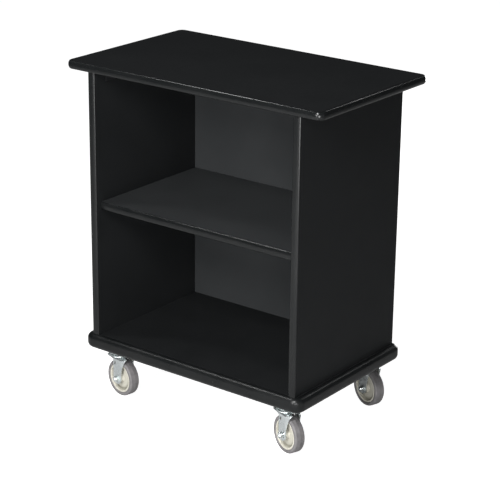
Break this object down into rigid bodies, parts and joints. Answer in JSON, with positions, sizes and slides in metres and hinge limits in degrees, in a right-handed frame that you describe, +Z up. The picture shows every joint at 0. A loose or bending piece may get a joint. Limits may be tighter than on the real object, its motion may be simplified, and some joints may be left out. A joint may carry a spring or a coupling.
{
  "type": "rolling utility cart",
  "caption": "Open-fronted laminate utility cart with an overhanging top, a shelf, a bumper round its base and swivel casters.",
  "frame": {"origin": "on the floor, under the centre of the cabinet's bounding box", "axes": "+Z up; -Y towards the open front; +X to the right seen from the front"},
  "size_m": [0.802, 0.472, 0.9145],
  "materials": {
    "laminate_board": "satin",
    "edge_trim": "satin",
    "bumper": "satin",
    "zinc_steel": "satin",
    "black_steel": "satin",
    "wheel_core": "satin",
    "tyre": "matte"
  },
  "bodies": {
    "cabinet": {"top_panel": "laminate_board", "left_side_panel": "laminate_board", "right_side_panel": "laminate_board", "back_panel": "laminate_board", "shelf": "laminate_board", "base_panel": "laminate_board", "top_edge_trim": "edge_trim", "left_front_trim": "edge_trim", "left_rear_trim": "edge_trim", "right_front_trim": "edge_trim", "right_rear_trim": "edge_trim", "shelf_front_trim": "edge_trim", "base_bumper": "bumper", "shelf_pin_front_left": "zinc_steel", "shelf_pin_rear_left": "zinc_steel", "shelf_pin_front_right": "zinc_steel", "shelf_pin_rear_right": "zinc_steel", "base_screw_front_left": "zinc_steel", "base_screw_rear_left": "zinc_steel", "base_screw_front_right": "zinc_steel", "base_screw_rear_right": "zinc_steel", "top_cleat_left": "black_steel", "top_cleat_right": "black_steel", "caster_plate_front_left": "zinc_steel", "kingpin_front_left": "zinc_steel", "ball_ring_front_left": "zinc_steel", "caster_plate_front_right": "zinc_steel", "kingpin_front_right": "zinc_steel", "ball_ring_front_right": "zinc_steel", "caster_plate_rear_left": "zinc_steel", "kingpin_rear_left": "zinc_steel", "ball_ring_rear_left": "zinc_steel", "caster_plate_rear_right": "zinc_steel", "kingpin_rear_right": "zinc_steel", "ball_ring_rear_right": "zinc_steel"},
    "swivel_front_left": {"fork_front_left": "zinc_steel", "axle_bolt_front_left": "zinc_steel", "axle_nut_front_left": "zinc_steel", "axle_bushing_front_left": "zinc_steel"},
    "wheel_front_left": {"wheel_core_front_left": "wheel_core", "tyre_front_left": "tyre"},
    "swivel_front_right": {"fork_front_right": "zinc_steel", "axle_bolt_front_right": "zinc_steel", "axle_nut_front_right": "zinc_steel", "axle_bushing_front_right": "zinc_steel"},
    "wheel_front_right": {"wheel_core_front_right": "wheel_core", "tyre_front_right": "tyre"},
    "swivel_rear_left": {"fork_rear_left": "zinc_steel", "axle_bolt_rear_left": "zinc_steel", "axle_nut_rear_left": "zinc_steel", "axle_bushing_rear_left": "zinc_steel"},
    "wheel_rear_left": {"wheel_core_rear_left": "wheel_core", "tyre_rear_left": "tyre"},
    "swivel_rear_right": {"fork_rear_right": "zinc_steel", "axle_bolt_rear_right": "zinc_steel", "axle_nut_rear_right": "zinc_steel", "axle_bushing_rear_right": "zinc_steel"},
    "wheel_rear_right": {"wheel_core_rear_right": "wheel_core", "tyre_rear_right": "tyre"}
  },
  "joints": [
    {"name": "swivel_front_left", "type": "hinge", "parent": "cabinet", "child": "swivel_front_left", "pos_m": [-0.278, -0.182, 0.1175], "axis": [0, 0, 1], "continuous": true},
    {"name": "roll_front_left", "type": "hinge", "parent": "swivel_front_left", "child": "wheel_front_left", "pos_m": [-0.26027, -0.18513, 0.0508], "axis": [0.1736, 0.9848, 0], "continuous": true},
    {"name": "swivel_front_right", "type": "hinge", "parent": "cabinet", "child": "swivel_front_right", "pos_m": [0.278, -0.182, 0.1175], "axis": [0, 0, 1], "continuous": true},
    {"name": "roll_front_right", "type": "hinge", "parent": "swivel_front_right", "child": "wheel_front_right", "pos_m": [0.29502, -0.18786, 0.0508], "axis": [0.3256, 0.9455, 0], "continuous": true},
    {"name": "swivel_rear_left", "type": "hinge", "parent": "cabinet", "child": "swivel_rear_left", "pos_m": [-0.278, 0.182, 0.1175], "axis": [0, 0, 1], "continuous": true},
    {"name": "roll_rear_left", "type": "hinge", "parent": "swivel_rear_left", "child": "wheel_rear_left", "pos_m": [-0.26053, 0.17765, 0.0508], "axis": [0.2419, 0.9703, 0], "continuous": true},
    {"name": "swivel_rear_right", "type": "hinge", "parent": "cabinet", "child": "swivel_rear_right", "pos_m": [0.278, 0.182, 0.1175], "axis": [0, 0, 1], "continuous": true},
    {"name": "roll_rear_right", "type": "hinge", "parent": "swivel_rear_right", "child": "wheel_rear_right", "pos_m": [0.29502, 0.17614, 0.0508], "axis": [0.3256, 0.9455, 0], "continuous": true}
  ]
}
